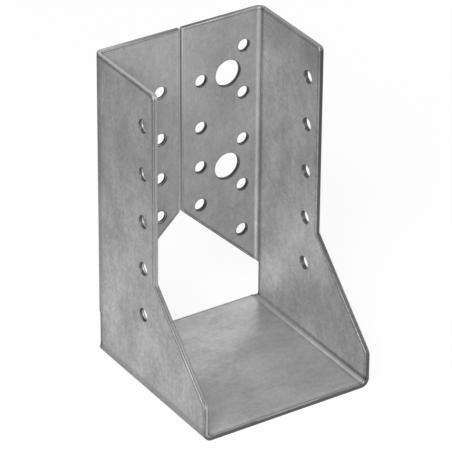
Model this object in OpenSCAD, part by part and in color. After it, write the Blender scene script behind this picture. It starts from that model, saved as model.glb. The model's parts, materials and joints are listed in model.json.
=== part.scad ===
// Joist hanger with inward-turned header flanges, folded from one galvanised steel sheet.
// The joist drops in from above, rests on the seat and leaves at the front (-Y).
// The two flanges close the back (+Y) and are nailed or bolted flat against the header.
// Origin: centre of the seat's underside. +Z is up. All sizes are in millimetres.

/* [Sheet] */
// Thickness of the sheet
sheet_t = 2; // [1.5:0.25:3]
// Inside radius of every fold
bend_r = 1.5; // [1:0.25:3]

/* [Joist pocket] */
// Clear width between the side walls
joist_w = 70; // [66:1:100]
// Overall height
hanger_h = 129; // [125:1:180]
// Depth of the seat from front to back
seat_depth = 77; // [70:1:100]
// Depth of the side walls above their sloped front edge
wall_depth = 42; // [34:1:60]
// Height at which the sloped front edge starts, at the front of the seat
toe_h = 15; // [8:1:30]
// Angle of the sloped front edge above the horizontal
front_slope = 45; // [30:1:50]
// Radius of the walls' upper front corners
corner_r = 2; // [1:0.5:8]
// Radius where the sloped front edge meets the upright edge above the seat
toe_r = 4; // [1:0.5:6]
// Step of the walls' rear edge in front of the seat's rear edge and the flanges' back
rear_step = 3; // [2:0.25:3.5]

/* [Header flanges] */
// Gap between the two flanges
flange_gap = 1; // [0.5:0.25:4]
// Height of the flanges' lower edge where they leave their folds
arch_foot_h = 19.5; // [14:0.5:26]
// Angle of the flanges' lower edge above the horizontal
arch_slope = 43.5; // [35:0.5:50]

/* [Joist nail holes] */
// Diameter of the nail holes in the side walls
joist_nail_d = 5; // [3.5:0.25:6]
// Number of holes in each side wall
joist_nail_rows = 5; // [2:1:5]
// Distance between the holes
joist_nail_pitch = 20; // [12:0.5:20]
// Distance of the highest hole below the top edge
joist_nail_top = 15.5; // [10:0.5:20]
// Distance of the holes behind the walls' front edge
joist_nail_edge = 7.5; // [6:0.5:14]

/* [Header nail holes] */
// Diameter of the nail holes in the flanges
header_nail_d = 5; // [3.5:0.25:6]
// Number of holes in the column beside each fold
outer_nail_rows = 5; // [2:1:5]
// Distance between the holes beside the fold
outer_nail_pitch = 20; // [12:0.5:20]
// Distance of the highest hole beside the fold below the top edge
outer_nail_top = 14.5; // [10:0.5:20]
// Distance of the holes beside the fold from the wall's outer face
outer_nail_edge = 9; // [7.5:0.5:10]
// Distance of the holes beside the gap from the flange's free edge
inner_nail_edge = 8.5; // [7:0.5:9]
// Steps between the four holes beside the gap, from the lowest up
inner_nail_step_1 = 16.5; // [12:0.5:18]
inner_nail_step_2 = 17; // [12:0.5:18]
inner_nail_step_3 = 20; // [12:0.5:22]

/* [Header bolt holes] */
// Diameter of the bolt holes in the flanges
bolt_d = 11; // [9:0.5:12]
// Distance between the two bolt holes of a flange
bolt_pitch = 40; // [30:1:50]
// Distance of the upper bolt hole below the top edge
bolt_top = 24.5; // [20:0.5:30]
// Distance of the bolt holes from the wall's outer face
bolt_edge = 16; // [15.5:0.25:17]

/* [Hidden] */
$fn = 72;

zinc = "#A6A8A9";
past = 1;                                 // how far a cutting tool runs past the sheet
fold_r = bend_r + sheet_t;                // outside radius of a fold
outer_w = joist_w + 2 * sheet_t;
wall_x = outer_w / 2;                     // outer face of the right wall
front_y = -seat_depth / 2;
rear_y = seat_depth / 2;                  // back of the flanges, against the header
fold_y = rear_y - fold_r;                 // where the walls start to fold into the flanges
wall_front_y = rear_y - wall_depth;
slope_top_h = toe_h + (wall_front_y - front_y) * tan(front_slope);
relief_start = -0.8;                      // where the rear relief leaves the seat's rear edge, round the fold
relief_end = relief_start + rear_step * sqrt(2);    // where it reaches the walls' rear edge
arch_h = arch_foot_h + (wall_x - fold_r - flange_gap / 2) * tan(arch_slope);

// Height of the flanges' lower edge at a distance x from the middle
function arch_z(x) = arch_h - (abs(x) - flange_gap / 2) * tan(arch_slope);

// Heights of the four holes beside the gap: the lowest is level with the top of the arch
inner_nail_z = [
    arch_h,
    arch_h + inner_nail_step_1,
    arch_h + inner_nail_step_1 + inner_nail_step_2,
    arch_h + inner_nail_step_1 + inner_nail_step_2 + inner_nail_step_3,
];

// Upright rectangle on the X axis whose two lower corners are rounded
module trough(w, h, r) {
    translate([-w / 2, r]) square([w, h - r]);
    translate([-w / 2 + r, 0]) square([w - 2 * r, r + past]);
    for (side = [-1, 1])
        translate([side * (w / 2 - r), r]) circle(r);
}

// Seat and side walls seen from the front: a U with a folded radius at each lower corner
module u_section() {
    difference() {
        trough(outer_w, hanger_h, fold_r);
        translate([0, sheet_t]) trough(joist_w, hanger_h, bend_r);
    }
}

// What rounding takes off a corner: all beyond radius r between the angles first and last
module round_off(r, first, last) {
    reach = r + past;
    middle = (first + last) / 2;
    tip = reach / cos((last - first) / 2);
    difference() {
        polygon([
            [0, 0],
            [reach * cos(first), reach * sin(first)],
            [tip * cos(middle), tip * sin(middle)],
            [reach * cos(last), reach * sin(last)],
        ]);
        circle(r);
    }
}

// Outline of seat and walls seen from the side, with Y to the right and Z up
module side_outline() {
    difference() {
        polygon([
            [front_y, 0],
            [rear_y, 0],
            [rear_y, hanger_h],
            [wall_front_y, hanger_h],
            [wall_front_y, slope_top_h],
            [front_y, toe_h],
        ]);
        translate([wall_front_y + corner_r, hanger_h - corner_r]) round_off(corner_r, 90, 180);
        translate([front_y + toe_r, toe_h - toe_r * tan(45 - front_slope / 2)])
            round_off(toe_r, 90 + front_slope, 180);
    }
}

// What lies behind the walls' rear edge and the slope, with its hollow upper end, that leads to the
// seat's rear edge. Y runs to the right, and the way up round the seat's fold runs up.
module relief() {
    slope = rear_step * sin(45);
    polygon([
        [rear_y + past, relief_start - past],
        [rear_y - slope, relief_start + slope],
        [rear_y, relief_end],
        [rear_y - rear_step, relief_end],
        [rear_y - rear_step, hanger_h],
        [rear_y + past, hanger_h],
    ]);
    translate([rear_y, relief_end]) circle(rear_step);
}

// The relief on both sides, cut square through the middle of the seat's folds
module reliefs() {
    for (side = [0, 1])
        mirror([side, 0, 0]) translate([wall_x - fold_r, 0, fold_r])
            rotate([0, 135, 0]) rotate([0, 0, 90])
                translate([0, 0, -hanger_h]) linear_extrude(hanger_h + 2 * fold_r) relief();
}

// What lies behind start and above the flanges' lower edge, an arch that peaks at the gap
module above_arch(start) {
    translate([0, start, 0]) rotate([90, 0, 180]) linear_extrude(rear_y + past - start)
        polygon([
            [0, arch_z(0)],
            [wall_x + past, arch_z(wall_x + past)],
            [wall_x + past, hanger_h + past],
            [-wall_x - past, hanger_h + past],
            [-wall_x - past, arch_z(wall_x + past)],
        ]);
}

// Seat and side walls
module channel() {
    difference() {
        intersection() {
            translate([0, rear_y, 0]) rotate([90, 0, 0]) linear_extrude(seat_depth) u_section();
            translate([-wall_x, 0, 0]) rotate([90, 0, 90]) linear_extrude(outer_w) side_outline();
        }
        reliefs();
        above_arch(fold_y);
    }
}

// Right flange with its fold and a little of the wall ahead of it, seen from above
module flange_section() {
    translate([flange_gap / 2, rear_y - sheet_t])
        square([wall_x - fold_r - flange_gap / 2, sheet_t]);
    translate([wall_x - sheet_t, fold_y - past]) square([sheet_t, past]);
    translate([wall_x - fold_r, fold_y]) intersection() {
        square(fold_r);
        difference() {
            circle(fold_r);
            circle(bend_r);
        }
    }
}

// Both flanges with their folds
module flanges() {
    intersection() {
        linear_extrude(hanger_h) {
            flange_section();
            mirror([1, 0]) flange_section();
        }
        above_arch(fold_y - past);
    }
}

// One hole through both side walls
module joist_hole(d, y, z) {
    translate([0, y, z]) rotate([0, 90, 0]) cylinder(h = outer_w + 2 * past, d = d, center = true);
}

// One hole in each flange, the same distance x either side of the middle
module header_holes(d, x, z) {
    for (side = [-1, 1])
        translate([side * x, rear_y + past, z]) rotate([90, 0, 0]) cylinder(h = sheet_t + 2 * past, d = d);
}

// The whole hanger, punched and folded from one sheet
module hanger() {
    color(zinc) difference() {
        union() {
            channel();
            flanges();
        }
        for (i = [0 : joist_nail_rows - 1])
            joist_hole(joist_nail_d, wall_front_y + joist_nail_edge,
                       hanger_h - joist_nail_top - i * joist_nail_pitch);
        for (i = [0 : outer_nail_rows - 1])
            header_holes(header_nail_d, wall_x - outer_nail_edge,
                         hanger_h - outer_nail_top - i * outer_nail_pitch);
        for (z = inner_nail_z)
            header_holes(header_nail_d, flange_gap / 2 + inner_nail_edge, z);
        for (i = [0 : 1])
            header_holes(bolt_d, wall_x - bolt_edge, hanger_h - bolt_top - i * bolt_pitch);
    }
}

hanger();
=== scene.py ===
import json
import math

import bmesh
import bpy
from mathutils import Matrix, Vector


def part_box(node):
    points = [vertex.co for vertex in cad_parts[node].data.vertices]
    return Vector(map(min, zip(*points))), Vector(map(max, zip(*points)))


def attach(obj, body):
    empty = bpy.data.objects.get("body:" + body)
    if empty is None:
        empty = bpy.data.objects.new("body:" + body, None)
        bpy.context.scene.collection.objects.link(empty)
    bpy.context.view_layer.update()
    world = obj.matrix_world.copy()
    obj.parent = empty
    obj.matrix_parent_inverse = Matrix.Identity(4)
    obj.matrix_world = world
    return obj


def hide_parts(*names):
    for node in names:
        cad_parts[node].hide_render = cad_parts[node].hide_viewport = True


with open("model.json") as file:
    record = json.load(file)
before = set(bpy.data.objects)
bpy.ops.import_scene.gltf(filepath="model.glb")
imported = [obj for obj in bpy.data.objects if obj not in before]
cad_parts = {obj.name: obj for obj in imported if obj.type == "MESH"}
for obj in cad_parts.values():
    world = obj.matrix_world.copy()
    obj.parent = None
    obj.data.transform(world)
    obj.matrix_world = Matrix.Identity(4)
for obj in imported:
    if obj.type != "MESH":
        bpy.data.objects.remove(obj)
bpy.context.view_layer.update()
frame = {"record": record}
scene = bpy.context.scene
scene.view_settings.view_transform = "Standard"


# Camera: a long lens a little over a metre away looks down into the pocket from the front left.
# The point that it looks at and its distance are in millimetres.
mm = 0.001
camera_data = bpy.data.cameras.new("camera")
camera_data.sensor_width = 36.0
camera_data.lens = 291.75
camera_data.clip_end = 20
camera = bpy.data.objects.new("camera", camera_data)
scene.collection.objects.link(camera)
scene.camera = camera
look_at = Vector((-4.16, -1.5, 64.41)) * mm
distance = 1362
turn, height, roll = math.radians(-33.06), math.radians(30.03), math.radians(0.48)
away = Vector((math.sin(turn) * math.cos(height), -math.cos(turn) * math.cos(height), math.sin(height)))
camera.matrix_world = (
    Matrix.Translation(look_at + away * distance * mm)
    @ away.to_track_quat("Z", "Y").to_matrix().to_4x4()
    @ Matrix.Rotation(roll, 4, "Z")
)


# Studio: a wide sheet of white paper under the hanger, and a white surround.
# The eye sees the paper white all over, the metal sees it bright near by and dim further off, and it
# keeps a faint soft shadow of the hanger.
def linear(colour):
    """Linear RGBA of an sRGB hex colour."""
    parts = [int(colour[i:i + 2], 16) / 255 for i in (1, 3, 5)]
    return [p / 12.92 if p <= 0.04045 else ((p + 0.055) / 1.055) ** 2.4 for p in parts] + [1.0]


def add_node(tree, kind, inputs=None, **settings):
    """Adds a node: inputs maps its sockets to values or to other nodes' outputs."""
    node = tree.nodes.new(kind)
    for name, value in settings.items():
        setattr(node, name, value)
    for socket, value in (inputs or {}).items():
        if isinstance(value, bpy.types.NodeSocket):
            tree.links.new(value, node.inputs[socket])
        else:
            node.inputs[socket].default_value = value
    return node


def new_material(name):
    """An empty node material and its tree."""
    material = bpy.data.materials.new(name)
    material.use_nodes = True
    material.node_tree.nodes.clear()
    return material, material.node_tree


# white paper: matt, with a glow that the eye and the metal see, and a little of the real light on it
paper, tree = new_material("white_paper")
bright_to, dim_from = 0.145, 0.18
bright_paper, dim_paper = 0.8, 0.24
glow_share = 0.9
light_path = add_node(tree, "ShaderNodeLightPath")
seen = add_node(tree, "ShaderNodeMath", {0: light_path.outputs["Is Camera Ray"],
                                         1: light_path.outputs["Is Transmission Ray"]}, operation="MAXIMUM")
spot = add_node(tree, "ShaderNodeTexCoord")
from_middle = add_node(tree, "ShaderNodeVectorMath", {0: spot.outputs["Object"]}, operation="LENGTH")
near = add_node(tree, "ShaderNodeMapRange",
                {"Value": from_middle.outputs["Value"], "From Min": bright_to, "From Max": dim_from,
                 "To Min": bright_paper, "To Max": dim_paper}, interpolation_type="SMOOTHSTEP")
mirrored = add_node(tree, "ShaderNodeMath", {0: light_path.outputs["Is Glossy Ray"], 1: near.outputs[0]},
                    operation="MULTIPLY")
seen = add_node(tree, "ShaderNodeMath", {0: seen.outputs[0], 1: mirrored.outputs[0]}, operation="MAXIMUM")
matt = add_node(tree, "ShaderNodeBsdfDiffuse", {"Color": linear("#F2F2F2")})
glow = add_node(tree, "ShaderNodeEmission", {"Color": (1, 1, 1, 1), "Strength": seen.outputs[0]})
mixed = add_node(tree, "ShaderNodeMixShader", {0: glow_share, 1: matt.outputs[0], 2: glow.outputs[0]})
add_node(tree, "ShaderNodeOutputMaterial", {"Surface": mixed.outputs[0]})

floor_mesh = bpy.data.meshes.new("floor")
floor_reach = 6.0
corners = [(x * floor_reach, y * floor_reach, 0) for x, y in ((-1, -1), (1, -1), (1, 1), (-1, 1))]
floor_mesh.from_pydata(corners, [], [(0, 1, 2, 3)])
floor_mesh.materials.append(paper)
floor = bpy.data.objects.new("floor", floor_mesh)
scene.collection.objects.link(floor)

world = bpy.data.worlds.new("studio")
scene.world = world
world.use_nodes = True
tree = world.node_tree
tree.nodes.clear()
light_path = add_node(tree, "ShaderNodeLightPath")
surround = add_node(tree, "ShaderNodeBackground", {"Color": linear("#E6E6E6"), "Strength": 0.16})
white = add_node(tree, "ShaderNodeBackground", {"Color": (1, 1, 1, 1), "Strength": 1.0})
backdrop = add_node(tree, "ShaderNodeMixShader", {0: light_path.outputs["Is Camera Ray"],
                                                  1: surround.outputs[0], 2: white.outputs[0]})
add_node(tree, "ShaderNodeOutputWorld", {"Surface": backdrop.outputs[0]})


# Lamps: the main soft box stands high on the left, and four weaker ones fill in from the front, the
# right, the back and overhead. All face the middle of the hanger.
soft_boxes = (
    # name, place and size in metres, watts
    ("lamp_main", (-1.0, -0.85, 1.15), 0.8, 33.0),
    ("lamp_front", (-0.6, -1.3, 0.6), 0.8, 10.0),
    ("lamp_right", (1.0, -1.1, 0.7), 0.8, 8.0),
    ("lamp_back", (0.85, 1.05, 1.1), 1.0, 3.7),
    ("lamp_above", (0.0, 0.0, 1.5), 1.0, 3.0),
)
for name, place, size, watts in soft_boxes:
    lamp_data = bpy.data.lights.new(name, "AREA")
    lamp_data.size = size
    lamp_data.energy = watts
    lamp = bpy.data.objects.new(name, lamp_data)
    scene.collection.objects.link(lamp)
    lamp.location = place
    lamp.rotation_euler = (Vector(place) - look_at).to_track_quat("Z", "Y").to_euler()


# The hanger: one sheet of hot-dip galvanised steel, 2 mm thick.
# It is punched flat with all its holes, then its two flanges and its two walls are folded up in a press.
# All its sizes are in millimetres.
low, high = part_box("hanger")
sheet = 2.0
inner_bend = 1.5
middle_bend = inner_bend + sheet / 2
bend_length = middle_bend * math.pi / 2
half_width = (high[0] - low[0]) / 2 / mm
top = high[2] / mm
front = low[1] / mm
back = high[1] / mm
seat_edge = half_width - sheet - inner_bend
wall_start = seat_edge + bend_length
fold_start = back - sheet - inner_bend
fold_end = fold_start + bend_length
gap = 1.0
flange_edge = fold_end + seat_edge - gap / 2


def up_wall(z):
    """Where a height on a side wall lies on the flat sheet, from the middle of the seat."""
    return wall_start + z - sheet - inner_bend


def fold_up(u, v, n):
    """Folds a point of the flat sheet: u across, v from front to back, n above its middle."""
    side = -1 if u < 0 else 1
    u = abs(u)
    # flange
    if v > fold_end:
        v, n = fold_start + middle_bend - n, middle_bend + (v - fold_end)
    elif v > fold_start and u > wall_start:
        angle = (v - fold_start) / middle_bend
        v, n = (fold_start + (middle_bend - n) * math.sin(angle),
                middle_bend - (middle_bend - n) * math.cos(angle))
    # wall
    if u < seat_edge:
        x, z = u, sheet / 2 + n
    elif u < wall_start:
        angle = (u - seat_edge) / middle_bend
        x = seat_edge + (middle_bend - n) * math.sin(angle)
        z = sheet + inner_bend - (middle_bend - n) * math.cos(angle)
    else:
        x, z = half_width - sheet / 2 - n, sheet + inner_bend + u - wall_start
    return Vector((side * x, v, z)) * mm


# outline of the right half of the flat sheet, from the toe of the wall anticlockwise
toe, toe_radius = 15.0, 4.0
knee = 50.0
corner = 2.0
wall_depth = 42.0
wall_front = back - wall_depth
arch_foot, arch_slope = 19.5, math.radians(43.5)
relief_start, relief_radius = -0.8, 3.0
relief_end = relief_start + relief_radius * math.sqrt(2)
relief_slope = relief_radius * math.sin(math.pi / 4)
toe_steps, corner_steps, arch_steps, relief_steps, slope_steps = 8, 10, 12, 8, 6


def arch(x):
    """Height of the flanges' lower edge at a distance x from the middle."""
    return arch_foot + (seat_edge - x) * math.tan(arch_slope)


def arc(v, z, radius, first, last, steps):
    """Points of an arc on the side wall, seen from the side and laid on the flat sheet."""
    angles = [math.radians(first + (last - first) * i / steps) for i in range(steps + 1)]
    return [(up_wall(z + radius * math.sin(angle)), v + radius * math.cos(angle)) for angle in angles]


def round_fold(w):
    """Where a height w along the 45 degree line across the seat's fold lies on the flat sheet."""
    if w > middle_bend * math.sin(math.pi / 4):
        return wall_start + w * math.sqrt(2) - middle_bend
    return seat_edge + middle_bend * (math.pi / 4 + math.asin(w / middle_bend))


half = arc(front + toe_radius, toe - toe_radius * math.tan(math.pi / 8), toe_radius, 180, 135, toe_steps)
half.append((up_wall(knee), wall_front))
half += arc(wall_front + corner, top - corner, corner, 180, 90, corner_steps)
half += [(up_wall(top), flange_edge), (up_wall(arch(gap / 2)), flange_edge)]
for i in range(arch_steps + 1):
    angle = math.pi / 2 * (1 - i / arch_steps)
    half.append((up_wall(arch(seat_edge + inner_bend * math.cos(angle))), fold_start + middle_bend * angle))
# rear relief: the wall's rear edge runs down into a hollow, then a slope cuts through the seat's fold
half.append((half[-1][0], back - relief_radius))
for i in range(relief_steps + 1):
    angle = math.radians(180 + 45 * i / relief_steps)
    half.append((round_fold(relief_end + relief_radius * math.sin(angle)),
                 back + relief_radius * math.cos(angle)))
for i in range(1, slope_steps + 1):
    left = relief_slope * (1 - i / slope_steps)
    half.append((round_fold(relief_start + left), back - left))
outline = half + [(-u, v) for u, v in reversed(half)]

# every nail and bolt hole: a pattern with no spacing one way gives the same place twice, which counts once
holes = set()
for mount in frame["record"]["mounts"]:
    if mount["kind"] != "bolt_pattern":
        continue
    x, y, z = [value / mm for value in mount["pos_m"]]
    dims = mount["dims"]
    across = dims.get("spacing_x_mm", 0) / 2
    along = dims.get("spacing_y_mm", 0) / 2
    for i in (-1, 1):
        for j in (-1, 1):
            radius = dims["hole_r_mm"]
            if mount["axis"][1]:
                v = fold_end + seat_edge - abs(x + i * across)
                holes.add((round(math.copysign(up_wall(z + j * along), i), 3), round(v, 3), radius))
            else:
                for side in (-1, 1):
                    holes.add((round(side * up_wall(z + j * along), 3), round(y, 3), radius))
holes = sorted(holes)

punch_mesh = bpy.data.meshes.new("punch_plan")
points = [(u * mm, v * mm, 0) for u, v, *_ in outline + holes]
count = len(outline)
punch_mesh.from_pydata(points, [(i, (i + 1) % count) for i in range(count)], [])
radii = punch_mesh.attributes.new("hole_radius", "FLOAT", "POINT")
for i, (_, _, radius) in enumerate(holes):
    radii.data[count + i].value = radius * mm
blank = bpy.data.objects.new("blank", punch_mesh)
scene.collection.objects.link(blank)

# punching: every cut line gets a rim with rolled edges, and both faces fill what the rims leave
edge_radius, rim_width = 0.35, 1.8
touching = 0.002 * mm
punch = bpy.data.node_groups.new("punch_sheet", "GeometryNodeTree")
punch.interface.new_socket("Plan", in_out="INPUT", socket_type="NodeSocketGeometry")
for name in ("Thickness", "Edge radius", "Rim width"):
    punch.interface.new_socket(name, in_out="INPUT", socket_type="NodeSocketFloat")
for name in ("Hole sides", "Edge steps"):
    punch.interface.new_socket(name, in_out="INPUT", socket_type="NodeSocketInt")
for name in ("Face material", "Cut material"):
    punch.interface.new_socket(name, in_out="INPUT", socket_type="NodeSocketMaterial")
punch.interface.new_socket("Sheet", in_out="OUTPUT", socket_type="NodeSocketGeometry")
plan = add_node(punch, "NodeGroupInput")
half_sheet = add_node(punch, "ShaderNodeMath", {0: plan.outputs["Thickness"], 1: 0.5}, operation="MULTIPLY")

# the cut lines: the outline, and a circle round each hole's centre that runs the other way
hole_radius = add_node(punch, "GeometryNodeInputNamedAttribute", {"Name": "hole_radius"}, data_type="FLOAT")
is_hole = add_node(punch, "FunctionNodeCompare", {0: hole_radius.outputs[0], 1: 0.0},
                   operation="GREATER_THAN")
outline_cut = add_node(punch, "GeometryNodeMeshToCurve", {"Mesh": plan.outputs["Plan"]})
centres = add_node(punch, "GeometryNodeMeshToPoints",
                   {"Mesh": plan.outputs["Plan"], "Selection": is_hole.outputs[0]})
circle = add_node(punch, "GeometryNodeCurvePrimitiveCircle",
                  {"Resolution": plan.outputs["Hole sides"], "Radius": 1.0})
circles = add_node(punch, "GeometryNodeInstanceOnPoints",
                   {"Points": centres.outputs[0], "Instance": circle.outputs[0],
                    "Scale": hole_radius.outputs[0]})
circles = add_node(punch, "GeometryNodeRealizeInstances", {0: circles.outputs[0]})
circles = add_node(punch, "GeometryNodeReverseCurve", {0: circles.outputs[0]})
# edge will be 1 at the outline and 0.5 at a hole, and fall to 0 across the rim
outline_cut = add_node(punch, "GeometryNodeStoreNamedAttribute",
                   {"Geometry": outline_cut.outputs[0], "Name": "reach", "Value": 1.0})
circles = add_node(punch, "GeometryNodeStoreNamedAttribute",
                   {"Geometry": circles.outputs[0], "Name": "reach", "Value": 0.5})
cuts = add_node(punch, "GeometryNodeJoinGeometry")
punch.links.new(outline_cut.outputs[0], cuts.inputs[0])
punch.links.new(circles.outputs[0], cuts.inputs[0])
cuts = add_node(punch, "GeometryNodeSetCurveNormal", {0: cuts.outputs[0]}, mode="Z_UP")

# the rim's profile: a cut straight through the sheet, with a rolled edge and a flat strip at each face
minus_half = add_node(punch, "ShaderNodeMath", {0: half_sheet.outputs[0], 1: -1.0}, operation="MULTIPLY")
minus_width = add_node(punch, "ShaderNodeMath", {0: plan.outputs["Rim width"], 1: -1.0},
                       operation="MULTIPLY")
profile = add_node(punch, "GeometryNodeCurvePrimitiveQuadrilateral", mode="POINTS")
for i, (in_x, in_y) in enumerate(((minus_width, minus_half), (None, minus_half),
                                  (None, half_sheet), (minus_width, half_sheet))):
    bend = add_node(punch, "ShaderNodeCombineXYZ", {"Y": in_y.outputs[0]})
    if in_x:
        punch.links.new(in_x.outputs[0], bend.inputs["X"])
    punch.links.new(bend.outputs[0], profile.inputs["Point %d" % (i + 1)])
profile = add_node(punch, "GeometryNodeSetSplineCyclic", {0: profile.outputs[0], "Cyclic": False})
profile = add_node(punch, "GeometryNodeFilletCurve",
                   {"Curve": profile.outputs[0], "Count": plan.outputs["Edge steps"],
                    "Radius": plan.outputs["Edge radius"]}, mode="POLY")
position = add_node(punch, "GeometryNodeInputPosition")
position = add_node(punch, "ShaderNodeSeparateXYZ", {0: position.outputs[0]})
near = add_node(punch, "ShaderNodeMapRange",
                {"Value": position.outputs["X"], "From Min": minus_width.outputs[0], "From Max": 0.0})
profile = add_node(punch, "GeometryNodeStoreNamedAttribute",
                   {"Geometry": profile.outputs[0], "Name": "near_cut", "Value": near.outputs[0]})
rim = add_node(punch, "GeometryNodeCurveToMesh",
               {"Curve": cuts.outputs[0], "Profile Curve": profile.outputs[0]})
reach = add_node(punch, "GeometryNodeInputNamedAttribute", {"Name": "reach"}, data_type="FLOAT")
near = add_node(punch, "GeometryNodeInputNamedAttribute", {"Name": "near_cut"}, data_type="FLOAT")
edge = add_node(punch, "ShaderNodeMath", {0: reach.outputs[0], 1: near.outputs[0]}, operation="MULTIPLY")
rim = add_node(punch, "GeometryNodeStoreNamedAttribute",
               {"Geometry": rim.outputs[0], "Name": "edge", "Value": edge.outputs[0]})
for name in ("reach", "near_cut"):
    rim = add_node(punch, "GeometryNodeRemoveAttribute", {"Geometry": rim.outputs[0], "Name": name})
off_middle = add_node(punch, "ShaderNodeMath", {0: position.outputs["Z"]}, operation="ABSOLUTE")
straight = add_node(punch, "ShaderNodeMath",
                    {0: half_sheet.outputs[0], 1: plan.outputs["Edge radius"]}, operation="SUBTRACT")
is_cut = add_node(punch, "FunctionNodeCompare", {0: off_middle.outputs[0], 1: straight.outputs[0]},
                  operation="LESS_THAN")

# the two faces
aside = add_node(punch, "GeometryNodeInputNormal")
aside = add_node(punch, "ShaderNodeVectorMath", {0: aside.outputs[0], "Scale": minus_width.outputs[0]},
                 operation="SCALE")
inset = add_node(punch, "GeometryNodeSetPosition", {0: cuts.outputs[0], "Offset": aside.outputs[0]})
face = add_node(punch, "GeometryNodeFillCurve", {0: inset.outputs[0]}, mode="TRIANGLES")
lift = add_node(punch, "ShaderNodeCombineXYZ", {"Z": half_sheet.outputs[0]})
drop = add_node(punch, "ShaderNodeCombineXYZ", {"Z": minus_half.outputs[0]})
upper = add_node(punch, "GeometryNodeSetPosition", {0: face.outputs[0], "Offset": lift.outputs[0]})
lower = add_node(punch, "GeometryNodeSetPosition", {0: face.outputs[0], "Offset": drop.outputs[0]})
lower = add_node(punch, "GeometryNodeFlipFaces", {0: lower.outputs[0]})
whole = add_node(punch, "GeometryNodeJoinGeometry")
for part in (rim, upper, lower):
    punch.links.new(part.outputs[0], whole.inputs[0])
whole = add_node(punch, "GeometryNodeMergeByDistance", {0: whole.outputs[0], "Distance": touching})
whole = add_node(punch, "GeometryNodeRealizeInstances", {0: whole.outputs[0]})
whole = add_node(punch, "GeometryNodeSetMaterial",
                 {0: whole.outputs[0], "Material": plan.outputs["Face material"]})
whole = add_node(punch, "GeometryNodeSetMaterial",
                 {0: whole.outputs[0], "Selection": is_cut.outputs[0],
                  "Material": plan.outputs["Cut material"]})
add_node(punch, "NodeGroupOutput", {0: whole.outputs[0]})

# hot-dip galvanised steel, skin-passed: a dull grey zinc coat, half metal and half chalky film, with
# clouds from storage, a faint mottle and soft streaks along the rolling direction; over it lie a painted
# highlight and lines of painted shade inside each fold, painted shade outside the folds, and more painted
# shade and light in places
zinc, tree = new_material("galvanised_steel")


def flat_place():
    """Where a point lay on the flat sheet, in millimetres: as a vector, from left to right, from the
    middle outwards, from front to back, and above the sheet's middle."""
    spot = add_node(tree, "ShaderNodeAttribute", attribute_name="sheet")
    vector = add_node(tree, "ShaderNodeVectorMath", {0: spot.outputs["Vector"], "Scale": 1000.0},
                      operation="SCALE").outputs[0]
    x, y, z = add_node(tree, "ShaderNodeSeparateXYZ", {0: vector}).outputs
    outwards = add_node(tree, "ShaderNodeMath", {0: x}, operation="ABSOLUTE").outputs[0]
    return vector, x, outwards, y, z


millimetres, rightwards, across, along, above = flat_place()
inside = add_node(tree, "ShaderNodeMath", {0: above, 1: 0.0}, operation="GREATER_THAN").outputs[0]
outside = add_node(tree, "ShaderNodeMath", {0: 1.0, 1: inside}, operation="SUBTRACT").outputs[0]
flange = add_node(tree, "ShaderNodeMath", {0: along, 1: fold_end}, operation="GREATER_THAN").outputs[0]
on_wall = add_node(tree, "ShaderNodeMath", {0: across, 1: wall_start}, operation="GREATER_THAN").outputs[0]
on_seat = add_node(tree, "ShaderNodeMath", {0: across, 1: seat_edge}, operation="LESS_THAN").outputs[0]
before_fold = add_node(tree, "ShaderNodeMath", {0: along, 1: fold_start}, operation="LESS_THAN").outputs[0]
edge = add_node(tree, "ShaderNodeAttribute", attribute_name="edge").outputs["Fac"]


def pattern(stretch, size, detail, roughness=0.5):
    """Noise of a size in millimetres, pulled out along the rolling direction."""
    pulled = add_node(tree, "ShaderNodeMapping",
                      {"Vector": millimetres, "Scale": (1 / stretch, 1, 1)})
    return add_node(tree, "ShaderNodeTexNoise",
                    {"Vector": pulled.outputs[0], "Scale": 1 / size, "Detail": detail,
                     "Roughness": roughness}).outputs["Fac"]


def line(where, middle, half_width, fade):
    """A line across the sheet that is 1 in its middle and fades out at both sides."""
    off = add_node(tree, "ShaderNodeMath", {0: where, 1: middle}, operation="SUBTRACT")
    off = add_node(tree, "ShaderNodeMath", {0: off.outputs[0]}, operation="ABSOLUTE")
    return add_node(tree, "ShaderNodeMapRange",
                    {"Value": off.outputs[0], "From Min": half_width, "From Max": half_width + fade,
                     "To Min": 1.0, "To Max": 0.0}, interpolation_type="SMOOTHSTEP").outputs[0]


def both(*masks):
    """Where all the masks hold."""
    product = masks[0]
    for mask in masks[1:]:
        product = add_node(tree, "ShaderNodeMath", {0: product, 1: mask}, operation="MULTIPLY").outputs[0]
    return product


def add_up(*parts):
    """Sum of values, each times its weight."""
    total = 0.0
    for value, weight in parts:
        total = add_node(tree, "ShaderNodeMath", {0: value, 1: weight, 2: total},
                         operation="MULTIPLY_ADD").outputs[0]
    return total


# clouds, mottle and streaks have their real sizes; the speckle is really finer, and is drawn as coarse as
# it needs to be to show
clouds = pattern(1.6, 15.0, 2.0)
mottle = pattern(1.3, 2.6, 2.0, 0.6)
streaks = pattern(14.0, 1.6, 1.0)
speckle = pattern(1.0, 1.15, 1.0)
coat = add_up((clouds, 0.36), (mottle, 0.32), (streaks, 0.1), (speckle, 0.22))
thin_coat, thick_coat = 0.34, 0.66
tones = add_node(tree, "ShaderNodeValToRGB", {0: coat})
tones.color_ramp.elements[0].position = thin_coat
tones.color_ramp.elements[0].color = linear("#9B9B9B")
tones.color_ramp.elements[1].position = thick_coat
tones.color_ramp.elements[1].color = linear("#BCBCBC")

# painted shade and light inside the seat's folds: a line of painted shade in the crease on the wall's side
# and a painted highlight on the fold, both stronger towards the front, and a thin line of painted shade on
# the seat's side; the flanges' folds have a line of painted shade and a painted highlight
fold_crease_shade = line(across, wall_start + 0.3, 0.5, 0.8)
fold_highlight = line(across, seat_edge + 1.3, 0.2, 0.5)
seat_crease_shade = line(across, seat_edge - 0.1, 0.3, 0.7)
front_half = line(along, front, 16.0, 60.0)
flange_crease_shade = line(along, fold_start - 0.1, 0.4, 1.4)
flange_fold_highlight = line(along, fold_end - 0.7, 0.5, 0.5)
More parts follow.
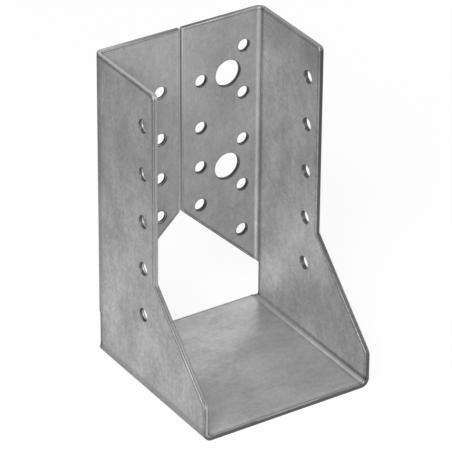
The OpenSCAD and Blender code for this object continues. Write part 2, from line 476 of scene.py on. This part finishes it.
# painted shade outside the folds, broken into patches
outer_fold_shade = line(across, (seat_edge + wall_start) / 2 + 0.5, bend_length / 2 + 0.6, 1.6)
flange_outer_fold_shade = line(along, (fold_start + fold_end) / 2 - 0.6, bend_length / 2 + 0.4, 1.2)
patchy = add_node(tree, "ShaderNodeMapRange",
                  {"Value": mottle, "From Min": 0.35, "From Max": 0.6, "To Min": 0.45,
                   "To Max": 1.0}).outputs[0]
# the shears roll the sheet's edges over, and the punch those of the holes
rolled = add_node(tree, "ShaderNodeMapRange", {"Value": edge, "From Min": 0.78, "From Max": 0.9}).outputs[0]
hole_rim_shade = line(edge, 0.5, 0.03, 0.08)
on_slope = line(across, up_wall(toe), knee - toe - 1.0, 2.0)
# painted highlight on the seat's face just behind its front edge
seat_front_highlight = line(along, front + 2.2, 0.5, 1.2)
# painted light on the flanges' inner faces along their edges at the gap
gap_edge_light = line(along, flange_edge, 0.5, 1.2)
# darker or brighter in places: darker in patches below the right wall's top edge on the inside, and a
# little brighter beside the gap; painted light near the walls' tops and on the seat beside the left wall,
# and painted shade low on the flanges and on the seat
right_top_band = line(rightwards, up_wall(top), 4.0, 14.0)
near_top = line(across, up_wall(top), 16.0, 20.0)
beside_left_wall = both(line(rightwards, -seat_edge, 6.0, 16.0), line(along, front, 16.0, 24.0))
beside_gap = both(line(along, flange_edge, 4.0, 12.0), line(rightwards, up_wall(top * 0.7), 25.0, 20.0))
low_flange = both(line(rightwards, up_wall(30.0), 15.0, 28.0), flange)

# every mark times its strength: below 0 it darkens the coat, above 0 it brightens it
shade = add_up((1.0, 1.0),
               # painted shade in the seat's fold creases and painted highlights on the folds
               (both(fold_crease_shade, inside), -0.2), (both(fold_crease_shade, inside, front_half), -0.36),
               (both(fold_highlight, inside), 0.1), (both(fold_highlight, inside, front_half), 0.08),
               (both(seat_crease_shade, inside), -0.12),
               # painted shade and a painted highlight in the flanges' folds, and painted shade low on the
               # flanges
               (both(flange_crease_shade, inside, on_wall), -0.45),
               (both(flange_fold_highlight, inside, on_wall), 0.1), (low_flange, -0.13),
               # painted shade outside the folds, in patches
               (both(outer_fold_shade, outside, patchy), -0.34),
               (both(flange_outer_fold_shade, outside, on_wall, patchy), -0.34),
               # painted shade along the cuts: in patches on the outer face, strongest under the top edges,
               # and faintly on the inner face
               (both(edge, outside, patchy), -0.2),
               (both(edge, outside, patchy, near_top), -0.34), (both(edge, inside), -0.06),
               # painted shade on the rolled edges, and more of it on the left toe's slope
               (both(rolled, inside), -0.25),
               (both(rolled, inside, on_slope), -0.35), (both(rolled, outside, on_slope), -0.3),
               # painted light along the flanges' edges at the gap, and a little brighter beside the gap
               (both(gap_edge_light, inside), 0.25), (beside_gap, 0.05),
               # painted highlight behind the seat's front edge
               (both(seat_front_highlight, inside, on_seat), 0.12),
               # darker in patches just below the right wall's top edge, on the inside
               (both(right_top_band, inside, before_fold, patchy), -0.28),
               # painted light near the walls' tops, and a touch of painted shade on the seat
               (both(near_top, before_fold), 0.05), (both(on_seat, inside), -0.01),
               # painted light on the seat beside the left wall, where the wall's shade falls
               (both(beside_left_wall, inside, on_seat), 0.12),
               # the walls' coat varies more, its own tone, and the walls are a little lighter overall,
               # painted light
               (both(clouds, on_wall, before_fold), 0.3), (both(mottle, on_wall, before_fold), 0.16),
               (both(on_wall, before_fold), -0.27),
               # painted shade in a ring round each hole
               (hole_rim_shade, -0.75),
               (both(speckle, on_wall, before_fold), 0.24))
# the coat's colour with all its marks, painted shade and painted light among them
coat_and_painted_light = add_node(tree, "ShaderNodeVectorMath", {0: tones.outputs[0], "Scale": shade}, operation="SCALE")

# the thicker the coat the smoother it is, and the seat is the smoothest part
dullness = add_node(tree, "ShaderNodeMapRange",
                    {"Value": coat, "From Min": thin_coat, "From Max": thick_coat, "To Min": 0.46,
                     "To Max": 0.37})
dullness = add_node(tree, "ShaderNodeMath", {0: on_seat, 1: -0.1, 2: dullness.outputs[0]},
                    operation="MULTIPLY_ADD")
grain = add_node(tree, "ShaderNodeBump", {"Height": coat, "Strength": 0.15, "Distance": 0.0002})
metal = add_node(tree, "ShaderNodeBsdfPrincipled",
                 {"Base Color": coat_and_painted_light.outputs[0], "Metallic": 0.6, "Roughness": dullness.outputs[0],
                  "Normal": grain.outputs[0]})
add_node(tree, "ShaderNodeOutputMaterial", {"Surface": metal.outputs[0]})

# bare sheared steel at the cuts: a bright burnished band towards the inner face and a dark torn one below
# it; painted light makes the left-hand cuts, the left wall's holes, the top cuts and those at the gap
# burnished over most of their depth and lighter still, and painted shade darkens the left toe's sloped cut
steel, tree = new_material("sheared_steel_edge")
millimetres, rightwards, across, along, above = flat_place()
edge = add_node(tree, "ShaderNodeAttribute", attribute_name="edge").outputs["Fac"]
sheared = add_node(tree, "ShaderNodeMath", {0: edge, 1: 0.75}, operation="GREATER_THAN").outputs[0]
punched = add_node(tree, "ShaderNodeMath", {0: 1.0, 1: sheared}, operation="SUBTRACT").outputs[0]
at_top = add_node(tree, "ShaderNodeMath", {0: across, 1: up_wall(top) - 0.6},
                  operation="GREATER_THAN").outputs[0]
at_gap = add_node(tree, "ShaderNodeMath", {0: along, 1: flange_edge - 0.6},
                  operation="GREATER_THAN").outputs[0]
on_flange = add_node(tree, "ShaderNodeMath", {0: along, 1: fold_start},
                     operation="GREATER_THAN").outputs[0]
on_left = add_node(tree, "ShaderNodeMapRange",
                   {"Value": rightwards, "From Min": -wall_start, "From Max": -seat_edge,
                    "To Min": 1.0, "To Max": 0.0}).outputs[0]
left_hole = both(on_left, punched)
# height above the sheet's middle at which the torn band ends
# lowered on the left-hand cuts, the left wall's holes, the top cuts and those at the gap, which is painted
# light; raised again on the flanges' tops
torn = add_up((0.55, 1.0), (both(on_left, sheared), -1.1), (left_hole, -0.6), (at_top, -2.0),
              (both(at_top, on_flange), 1.0), (at_gap, -2.0), (pattern(1.0, 1.2, 2.0), 0.3))
depth = add_node(tree, "ShaderNodeMath", {0: above, 1: torn}, operation="SUBTRACT")
burnished = add_node(tree, "ShaderNodeMapRange",
                     {"Value": depth.outputs[0], "From Min": -0.2, "From Max": 0.2},
                     interpolation_type="SMOOTHSTEP")
tones = add_node(tree, "ShaderNodeValToRGB", {0: burnished.outputs[0]})
tones.color_ramp.elements[0].color = linear("#5E5E5E")
tones.color_ramp.elements[1].color = linear("#8C8C8C")
sloped = line(across, up_wall((toe + knee) / 2), (knee - toe) / 2 - 1.0, 1.0)
# painted light on the left-hand cuts, the burnished part of the left wall's holes, the top cuts and those
# at the gap, and painted shade on the left toe's sloped cut
shade = add_up((1.0, 1.0), (both(on_left, sheared), 0.6), (both(on_left, sheared, sloped), -0.6),
               (both(left_hole, burnished.outputs[0]), 1.2), (at_top, 0.25),
               (both(at_top, on_flange), 0.15), (at_gap, 0.8))
cut_tone_and_painted_light = add_node(tree, "ShaderNodeVectorMath", {0: tones.outputs[0], "Scale": shade}, operation="SCALE")
metal = add_node(tree, "ShaderNodeBsdfPrincipled",
                 {"Base Color": cut_tone_and_painted_light.outputs[0], "Metallic": 0.8, "Roughness": 0.5})
add_node(tree, "ShaderNodeOutputMaterial", {"Surface": metal.outputs[0]})

modifier = blank.modifiers.new("punch", "NODES")
modifier.node_group = punch
values = {"Thickness": sheet * mm, "Edge radius": edge_radius * mm, "Rim width": rim_width * mm,
          "Hole sides": 56, "Edge steps": 3, "Face material": zinc, "Cut material": steel}
for socket in punch.interface.items_tree:
    if socket.name in values:
        modifier[socket.identifier] = values[socket.name]
flat = bpy.data.meshes.new_from_object(blank.evaluated_get(bpy.context.evaluated_depsgraph_get()))
bpy.data.objects.remove(blank)

# folding: the flat sheet is cut into narrow strips where it bends, then every point is folded up
work = bmesh.new()
work.from_mesh(flat)
bmesh.ops.remove_doubles(work, verts=work.verts, dist=touching)
bend_steps = 14
hair = 0.01
on_line = 1e-7
for side in (-1, 1):
    for i in range(bend_steps + 1):
        u = side * (seat_edge + bend_length * i / bend_steps) * mm
        bmesh.ops.bisect_plane(work, geom=work.verts[:] + work.edges[:] + work.faces[:], dist=on_line,
                               plane_co=(u, 0, 0), plane_no=(1, 0, 0))
for i in range(bend_steps + 1):
    v = (fold_start + bend_length * i / bend_steps) * mm
    faces = [f for f in work.faces if all(abs(p.co.x) > (wall_start - hair) * mm for p in f.verts)]
    edges = {e for f in faces for e in f.edges}
    verts = {p for f in faces for p in f.verts}
    bmesh.ops.bisect_plane(work, geom=list(verts) + list(edges) + faces, dist=on_line,
                           plane_co=(0, v, 0), plane_no=(0, 1, 0))
on_sheet = work.verts.layers.float_vector.new("sheet")
for point in work.verts:
    point[on_sheet] = point.co
    point.co = fold_up(*[value / mm for value in point.co])
bmesh.ops.recalc_face_normals(work, faces=work.faces)
for face in work.faces:
    face.smooth = True
folded = bpy.data.meshes.new("joist_hanger")
work.to_mesh(folded)
work.free()
for material in flat.materials:
    folded.materials.append(material)
hanger = bpy.data.objects.new("joist_hanger", folded)
scene.collection.objects.link(hanger)
soften = hanger.modifiers.new("flat_faces", "WEIGHTED_NORMAL")
soften.keep_sharp = True
soften.weight = 100
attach(hanger, "root")
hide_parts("hanger")
